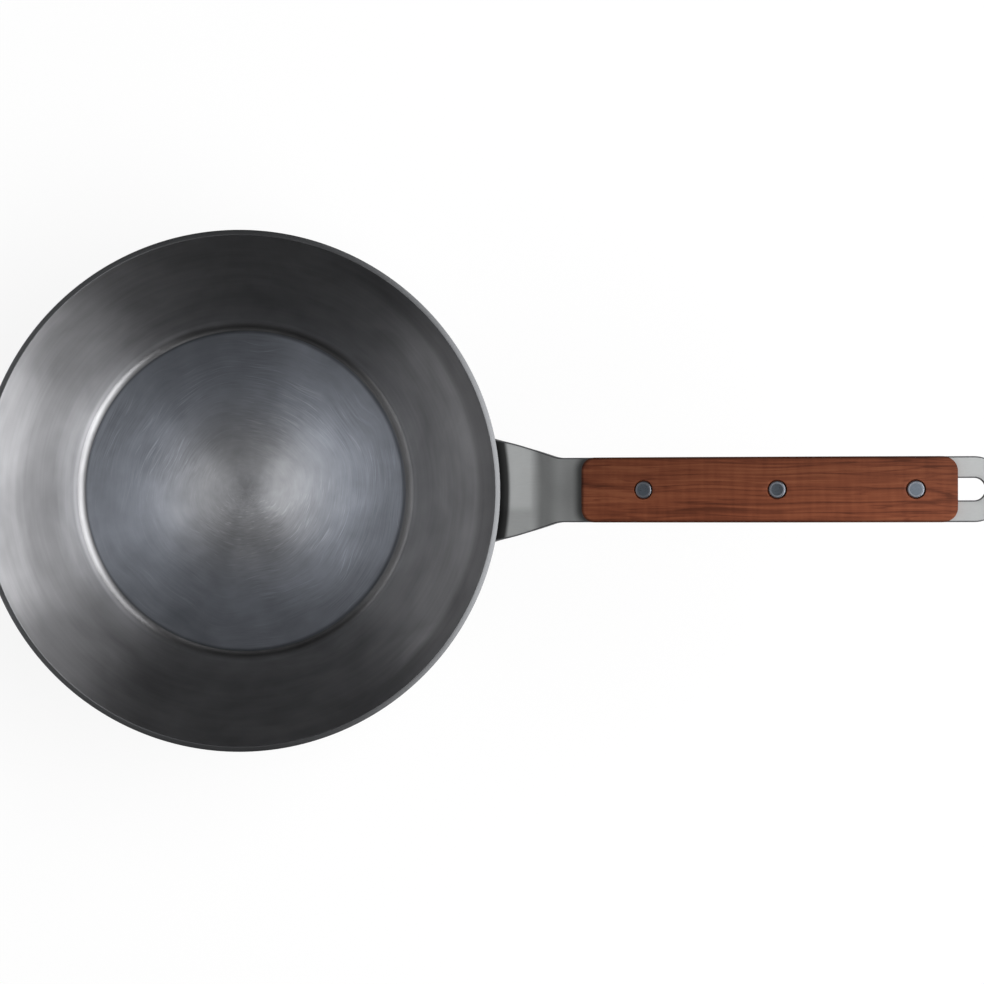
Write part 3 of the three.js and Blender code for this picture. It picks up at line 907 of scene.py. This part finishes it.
# Painted glint: a bright spot just beside the middle, on the handle's side.
around_middle = floor_finish.peak(radius, (5, 13), (15, 27))
painted_glint_spot = around_middle * floor_finish.between(ahead, 0.5, 0.95, 0.0, 0.22)
uneven_and_painted_light = 1.0 + painted_glint_spot + (painted_glint_turn - floor_painted_shade) * floor_finish.between(radius, 8, 32)
# The floor's own tones, multiplied with the painted glints and shade.
wear_and_painted_glint = bright_ring * painted_glint_by_handle * dull_centre * dark_line * uneven_and_painted_light
floor_finish.count("strokes, wear and painted glints on the floor")

# %% Finish of the bowl's floor
FLOOR_STEEL = srgb(127, 131, 139)
WORN_STEEL = srgb(131, 132, 135)

steel = floor_finish.mix(floor_finish.between(radius, 15, 55), WORN_STEEL, FLOOR_STEEL)
floor_colour = floor_finish.tint(steel, shine * wear_and_painted_glint)
floor_material = floor_finish.shade(base_color=floor_colour, roughness=0.46 + strokes * 0.1)
no_direction = {"Base Color": floor_colour, "Metallic": 1.0, "Roughness": 0.5}
scoured = floor_finish.node("ShaderNodeBsdfPrincipled", {}, no_direction)
floor_finish.blend(floor_finish.between(radius, 2, 28, 0.8, 0.0), scoured)

# %% [markdown]
# ## The wall and the rim
#
# The wall is the same bare steel, but smoother and smoky: soft bands and clouds lie over its fine rings.
# A painted highlight lies near the rim on one side, and painted shade darkens another side and the wall
# just below the rim beside the handle. The bend between floor and wall starts with a thin dark line.
# Painted shade keeps the lower bend dark towards the pan's two sides, and a painted crescent of highlight
# lies in the bend away from the handle, while a broader painted highlight runs all round low on the wall.
# A second, duller material could make the dark places, but a tint keeps them metal, so that they still
# reflect. The rim is a narrow ground face, with painted shade on its sides and painted light on its far
# side.

# %% Smoke on the wall
wall_finish = Finish(
    "wall_bare_steel",
    {"Metallic": 1.0, "Anisotropic": 0.75, "Anisotropic Rotation": SPREAD_ACROSS_STROKES},
)
wall_rings = ring_noise(wall_finish, per_millimetre=0.8, breaks=2.5)
wall_bands = ring_noise(wall_finish, per_millimetre=0.12, breaks=4.0, wander=6.0)
clouds = wall_finish.noise(wall_finish.position(), scale=22, detail=4)
smoke = 0.3 + wall_rings * 0.22 + wall_bands * 0.5 + clouds * 0.52
wall_finish.count("smoke on the wall")

# %% Painted highlight, painted shade and the smoky band
# Sides of the painted shade and the painted highlight, and of the smoky band.
WALL_SHADE_SIDE = 230  # in degrees from the handle
WALL_HIGHLIGHT_SIDE = 163
BANDED_SIDE = 188

radius, ahead, aside = from_axis(wall_finish)
past_rim = radius - RIM_RADIUS
near_rim = wall_finish.between(past_rim, -24, -12)
# Painted highlight near the rim on one side, and painted shade on another side.
wall_painted_highlight = near_rim * wall_finish.between(toward(wall_finish, WALL_HIGHLIGHT_SIDE), 0.9, 1.0, 0.0, 0.2)
wall_painted_shade = wall_finish.between(toward(wall_finish, WALL_SHADE_SIDE), 0.9, 0.995, 0.0, 0.35)
band = wall_finish.peak(past_rim, (-36, -30), (-20, -14))
smoky_band = band * wall_finish.between(toward(wall_finish, BANDED_SIDE), 0.9, 0.985, 0.0, 0.19)
# Painted shade on the wall just below the rim, beside the handle.
below_rim = wall_finish.between(past_rim, -12, -8)
rim_shade = below_rim * wall_finish.between(ahead, 0.3, 0.8, 0.0, 0.36)
# The smoky band is the wall's own, and the rest is painted shade.
smoke_and_painted_shade = wall_painted_shade + smoky_band + rim_shade
wall_finish.count("smoke, painted highlight and shade on the wall")

# %% Bend between floor and wall
WALL_STEEL = srgb(140, 140, 142)
# The side where the painted crescent of highlight lies.
CRESCENT_SIDE = 165  # in degrees from the handle

past_base = radius - BASE_RADIUS
corner_line = wall_finish.between(past_base - ahead * 0.35, 0, 1.6, 0.3, 1.0)
# Painted highlight low on the wall all round, and a painted crescent of highlight in the bend on one side.
painted_highlight_low_wall = wall_finish.peak(past_base, (2.5, 5), (5, 16), top=0.32)
painted_crescent = wall_finish.peak(past_base, (3.0, 4.2), (4.6, 6.0), top=0.75)
crescent_side = wall_finish.between(toward(wall_finish, CRESCENT_SIDE), 0.2, 0.75, 0.3, 1.0)
# Painted shade in the lower bend, towards the pan's two sides.
lower_bend = wall_finish.between(past_base, 1.6, 3.2, 1.0, 0.0)
painted_shade_in_bend = lower_bend * wall_finish.between(abs(aside) + ahead * 0.25, 0.8, 1.0, 0.0, 0.5)
# The painted light and shade, with the smoke and shade of the places above, added up.
uneven_and_painted_light = 1.0 + painted_highlight_low_wall + crescent_side * painted_crescent + wall_painted_highlight - smoke_and_painted_shade - painted_shade_in_bend
height = wall_finish.part(wall_finish.position(stretch=(0, 0, 1 / MM)), "Z")
wall_material = wall_finish.shade(
    base_color=wall_finish.tint(WALL_STEEL, smoke * corner_line * uneven_and_painted_light),
    roughness=wall_finish.between(height, 3, 9, 0.29, 0.33) + clouds * 0.08,
)

# %% Finish of the rim
RIM_STEEL = srgb(100, 101, 103)

rim_finish = Finish("rim_ground_steel", {"Metallic": 0.85})
rim_rings = ring_noise(rim_finish, per_millimetre=3.0, breaks=6.0)
to_handle = toward(rim_finish, 0)
# Painted shade on the rim's sides, and painted light on its far side.
painted_rim_shade = rim_finish.between(to_handle, 0.75, 1.0, 0.75, 1.0)
painted_rim_light = rim_finish.between(to_handle, -0.6, 0.1, 1.9, 1.0)
rim_material = rim_finish.shade(
    base_color=rim_finish.tint(RIM_STEEL, (0.85 + rim_rings * 0.2) * painted_rim_shade * painted_rim_light),
    roughness=0.34 + rim_rings * 0.12,
)


def dress(piece, *materials):
    for material in materials:
        piece.data.materials.append(material)


dress(bowl_piece, wall_material, floor_material, rim_material)

# %% [markdown]
# ## Steel of the strap
#
# The strap is a plainer steel with a satin face and fine marks along it. Painted shade darkens it under the
# rim, along one side of the neck and in the bend between neck and grip, and a painted shadow lies round
# the wood's front end. That shadow could be a thin piece of its own, but a tint by the distance from the
# wood has no edge that shows. The wood's outline is a rectangle with round corners. So the distance is how
# far a point lies past its two straight edges, each at least 0, taken as two sides of a right angle. The
# cut edges are rougher, with a material of their own, and their darker colour is painted shade.

# %% Measure from the wood's front end
wood_front = lay_point(scale_start, 0, scale_top).x


def from_wood(finish):
    """Millimetres from the wood's outline at its front end, seen from above, and less than 0 inside it."""
    flat = finish.position(stretch=(1 / MM, 1 / MM, 0))
    past_side = abs(finish.part(flat, "Y")) - (grip - SCALE_FRONT_CORNER)
    past_front = wood_front + SCALE_FRONT_CORNER - finish.part(flat, "X")
    sides = [past.at_least(0.0) for past in (past_side, past_front)]
    return (sides[0] * sides[0] + sides[1] * sides[1]).root() - SCALE_FRONT_CORNER


print(f"the wood starts {wood_front:.1f} mm from the bowl's axis")

# %% Satin and painted shade along the strap
grip_tilt = spine_at((scale_start + scale_end) / 2)[2]
WITH_THE_GRIP = (0, grip_tilt, 0)

strap_finish = Finish("strap_satin_steel", {"Metallic": 0.75})
strap_marks = strap_finish.noise(strap_finish.position(WITH_THE_GRIP, (60, 2500, 2500)), detail=3)
strap_clouds = strap_finish.noise(strap_finish.position(), scale=60, detail=3)
satin = 0.78 + strap_marks * 0.12 + strap_clouds * 0.24
radius = from_axis(strap_finish)[0]
past_rim = radius - RIM_RADIUS
past_neck = radius - spine_at(neck_end)[0]
past_wood = radius - wood_front
# Painted shade under the rim, eased off again down the hidden foot.
painted_shade_under_rim = strap_finish.between(past_rim, 3.1, 5.2, 0.12, 1.0)
lower_foot = strap_finish.between(past_rim, -7, -2, 0.4, 0.0)
# Painted shade in the bend between neck and grip, partly lifted again on the grip.
painted_strap_bend_shade = strap_finish.between(past_neck, 2, 6.5, 1.0, 0.64)
painted_shade_to_grip = painted_strap_bend_shade + strap_finish.between(past_neck, 8, 14.5, 0.0, 0.33)
# Painted shadow round the wood's front end, lifted again past it.
painted_shadow_by_wood = strap_finish.between(from_wood(strap_finish), 0.0, 4.5, 0.2, 1.0)
painted_shadow_lifted = strap_finish.between(past_wood, 10, 20, 0.0, 0.85)
# Painted shade along one side of the neck.
across_strap = strap_finish.part(strap_finish.position(stretch=(0, 1 / MM, 0)), "Y")
painted_side_shade = strap_finish.between(across_strap, -11, -6, 0.25, 0.0)
painted_neck_shade = 1.0 - painted_side_shade * strap_finish.between(past_neck, -1, 5, 1.0, 0.0)
strap_finish.count("satin and painted shade along the strap")

# %% Finish of the strap
STRAP_STEEL = srgb(183, 185, 185)

# The satin tones multiplied with all the painted shade and shadow.
satin_and_painted_shade = satin * (painted_shade_under_rim + lower_foot) * painted_neck_shade * painted_shade_to_grip * (painted_shadow_by_wood + painted_shadow_lifted)
strap_material = strap_finish.shade(
    base_color=strap_finish.tint(STRAP_STEEL, satin_and_painted_shade),
    roughness=0.34 + strap_clouds * 0.12 + strap_marks * 0.06,
)

# %% Finish of the cut edges
# Sheared edges are rougher, and their darker colour is painted shade.
EDGE_STEEL_SHADED = srgb(102, 103, 105)

edge_finish = Finish("strap_sheared_edge_painted_shade", {"Metallic": 0.9})
edge_marks = edge_finish.noise(edge_finish.position(), scale=700, detail=2)
edge_material = edge_finish.shade(
    base_color=edge_finish.tint(EDGE_STEEL_SHADED, 0.8 + edge_marks * 0.4),
    roughness=0.45 + edge_marks * 0.15,
)
dress(strap_piece, strap_material, edge_material)

# %% [markdown]
# ## The weld and the rivets
#
# The weld is rougher than the sheet, grainy and tinted by its own heat. Its grain is too fine for the
# mesh, so it is a bump. The rivet heads were turned, so they are smooth with a faint blue cast. Their
# middles carry painted light and shade, the front one brightest and the middle one darkest, inside a flat
# ring that is rubbed brighter. Each tone could be a material, but one that steps along the handle keeps
# them alike. Ring and middle are one finish in two colours, so one function makes both.

# %% Finish of the weld
WELD_DARK = srgb(100, 98, 98)
WELD_TAN = srgb(142, 136, 128)

weld_finish = Finish("weld_bead_steel", {"Metallic": 1.0})
weld_grain = weld_finish.noise(weld_finish.position(), scale=900, detail=4)
heat = weld_finish.noise(weld_finish.position(), scale=120, detail=2)
weld_material = weld_finish.shade(
    base_color=weld_finish.mix(heat, WELD_DARK, WELD_TAN),
    roughness=0.4 + weld_grain * 0.25,
    normal=weld_finish.bump(weld_grain, 0.15),
)
dress(weld_piece, weld_material)

# %% Finish of the rivets
RIVET_STEEL = srgb(99, 107, 116)
RIVET_RING = srgb(132, 136, 144)


def painted_light_of_heads(finish):
    """Painted light and shade for each rivet head: the middle one darkest, and the front one brightest."""
    past_middle_rivet = from_axis(finish)[0] - spine_at(rivet_places[1])[0]
    painted_light_front_heads = finish.between(past_middle_rivet, -50, -12, 1.3, 0.62)
    return painted_light_front_heads + finish.between(past_middle_rivet, 12, 50, 0.0, 0.38)


def turned_steel(name, colour, roughness, with_painted_light):
    finish = Finish(name, {"Metallic": 0.8})
    fine_grain = finish.noise(finish.position(), scale=1800, detail=2)
    tone = 0.85 + fine_grain * 0.2
    # Painted light and shade on the middles of the heads.
    if with_painted_light:
        tone = tone * painted_light_of_heads(finish)
    return finish.shade(base_color=finish.tint(colour, tone), roughness=roughness + fine_grain * 0.1)


head_middle = turned_steel("rivet_turned_steel", RIVET_STEEL, 0.24, with_painted_light=True)
head_ring = turned_steel("rivet_worn_ring", RIVET_RING, 0.3, with_painted_light=False)
for rivet in rivets:
    dress(rivet, head_middle, head_ring)

# %% [markdown]
# ## Reddish hardwood
#
# The scales are sawn lengthwise from straight grained wood: long streaks, dark growth lines, pores drawn
# out along the grain, and a faint ripple across it. A picture of wood would have to be wrapped round the
# edges, while noise runs through the piece as real grain does. All of it is stretched along the grip and
# sways a little sideways. A growth line is where a smooth noise passes through its middle value, as a
# height line on a map does. The front end and the rounded long edges are darker by painted shade, and one
# long half of the face is darker than the other.

# %% Grain of the wood
SWAY = 5  # how far the grain wanders sideways, in millimetres

wood_finish = Finish("oiled_hardwood", {"Specular IOR Level": 0.15})
sway = wood_finish.noise(wood_finish.position(WITH_THE_GRIP, (14, 0, 0)), detail=1)


def grain(along, across, detail=3.0):
    """Noise with this many features per metre along and across the grain."""
    straight = wood_finish.position(WITH_THE_GRIP, (along, across, across / 3))
    shift = wood_finish.node("ShaderNodeCombineXYZ", {}, {1: sway * (SWAY * MM * across)})
    swayed = wood_finish.node("ShaderNodeVectorMath", {"operation": "ADD"}, {0: straight, 1: shift})
    return wood_finish.noise(swayed, detail=detail)


def height_lines(noise, half_width):
    """1 where a noise passes through its middle value, and 0 away from there."""
    return wood_finish.between(abs(noise - 0.5), 0.0, half_width, 1.0, 0.0)


streaks = grain(along=12, across=700)
layers = grain(along=4, across=110, detail=1)
ripple = grain(along=350, across=60, detail=1)
growth_lines = height_lines(grain(along=4, across=190, detail=0), 0.05)
fine_lines = height_lines(grain(along=7, across=420, detail=1), 0.04)
pores = wood_finish.between(grain(along=70, across=1900, detail=1), 0.6, 0.72)
wood_finish.count("grain of the wood")

# %% Finish of the wood
mottle = layers * 0.35 + streaks * 0.72 + ripple * 0.2
tone = (mottle - 0.635) * 2.2 + 0.7 - growth_lines * 0.4 - fine_lines * 0.36
wood_colours = [
    (0.00, srgb(85, 43, 27)),
    (0.35, srgb(105, 55, 36)),
    (0.65, srgb(118, 64, 42)),
    (1.00, srgb(131, 76, 51)),
]
wood_colour = wood_finish.node("ShaderNodeValToRGB", {"stops": wood_colours}, {"Fac": tone})
# Painted shade on the front end and along the rounded long edges.
painted_front_shade = wood_finish.between(from_wood(wood_finish), -1.6, -0.3, 1.0, 0.35)
across_grip = wood_finish.part(wood_finish.position(stretch=(0, 1 / MM, 0)), "Y")
painted_edge_shade = wood_finish.between(abs(across_grip), grip - 1.2, grip - 0.2, 1.0, 0.85)
sides = wood_finish.between(across_grip, -10, 12, 1.08, 0.84)
wood_material = wood_finish.shade(
    base_color=wood_finish.tint(wood_colour, (1.0 - pores * 0.15) * painted_front_shade * painted_edge_shade * sides),
    roughness=0.5 + streaks * 0.12 + pores * 0.1,
    normal=wood_finish.bump(streaks - pores * 0.6, 0.03),
)
dress(upper_scale, wood_material)
dress(lower_scale, wood_material)

# %% [markdown]
# ## Floor and light
#
# A pale floor lies under five soft boxes in line with the handle: a large bright one high on the right, a
# lower one beneath it, a small one overhead and two weak ones on the left. Nothing shines from the
# picture's upper and lower sides, which is why the bowl's wall falls dark there. More light could make the
# floor white, but it would wash out the pan. Instead the camera sees most of the floor as plain white, and
# the rest of it keeps the pan's soft shadow.

# %% Make the floor
FLOOR_HALF = 6.0  # half its width, in metres
FLOOR_BELOW = 0.2

floor_mesh = bpy.data.meshes.new("studio_floor")
floor_shape = bmesh.new()
bmesh.ops.create_grid(floor_shape, x_segments=1, y_segments=1, size=FLOOR_HALF)
bmesh.ops.translate(floor_shape, vec=(0, 0, -FLOOR_BELOW * MM), verts=floor_shape.verts)
floor_shape.to_mesh(floor_mesh)
floor_shape.free()
studio_floor = bpy.data.objects.new("studio_floor", floor_mesh)
scene.collection.objects.link(studio_floor)
print(f"floor {2 * FLOOR_HALF:.0f} m wide")

# %% Finish of the floor
FLOOR_WHITE = 0.88  # how much of the floor's look is plain white

paper = Finish("studio_paper", {"Base Color": (0.9, 0.9, 0.9, 1), "Roughness": 0.9})
white = paper.node("ShaderNodeEmission", {}, {"Color": (1, 1, 1, 1), "Strength": 1.0})
kinds = ["Is Camera Ray", "Is Glossy Ray", "Is Transmission Ray"]
rays = [paper.node("ShaderNodeLightPath", {}, {}, kind) for kind in kinds]
paper.blend((rays[0] + rays[1] + rays[2]) * FLOOR_WHITE, white)
floor_mesh.materials.append(paper.material)
print(f"floor {FLOOR_WHITE:.0%} plain white to the camera")

# %% Place the lights
ROOM_GLOW = 0.012  # the room beyond the soft boxes is almost dark
AIM = (0.05, 0, 0.03)

world = bpy.data.worlds.new("studio")
world.use_nodes = True
room = world.node_tree.nodes["Background"]
room.inputs["Color"].default_value = (1, 1, 1, 1)
room.inputs["Strength"].default_value = ROOM_GLOW
scene.world = world


def soft_box(name, place, aim, size, brightness):
    """A glowing rectangle, aimed at a point. Its power follows from its size and how bright it looks."""
    light = bpy.data.lights.new(name, "AREA")
    light.shape = "RECTANGLE"
    light.size, light.size_y = size
    light.energy = brightness * math.pi * size[0] * size[1]
    box = bpy.data.objects.new(name, light)
    box.location = place
    box.rotation_euler = (Vector(aim) - Vector(place)).to_track_quat("-Z", "Y").to_euler()
    scene.collection.objects.link(box)
    print(f"{name}: {size[0]} by {size[1]} m, {light.energy:.0f} W")


soft_box("key_right", (1.65, 0, 1.65), AIM, (4.2, 1.3), 5.2)
soft_box("low_right", (2.2, 0, 0.7), AIM, (2.6, 1.05), 3.3)
soft_box("overhead", (-0.1, 0, 2.33), (-0.1, 0, 0), (1.1, 0.8), 1.9)
soft_box("high_left", (-1.25, 0, 1.95), AIM, (2.0, 1.2), 0.15)
soft_box("low_left", (-2.1, 0, 0.7), AIM, (3.6, 1.05), 1.2)
scene.view_settings.view_transform = "Standard"
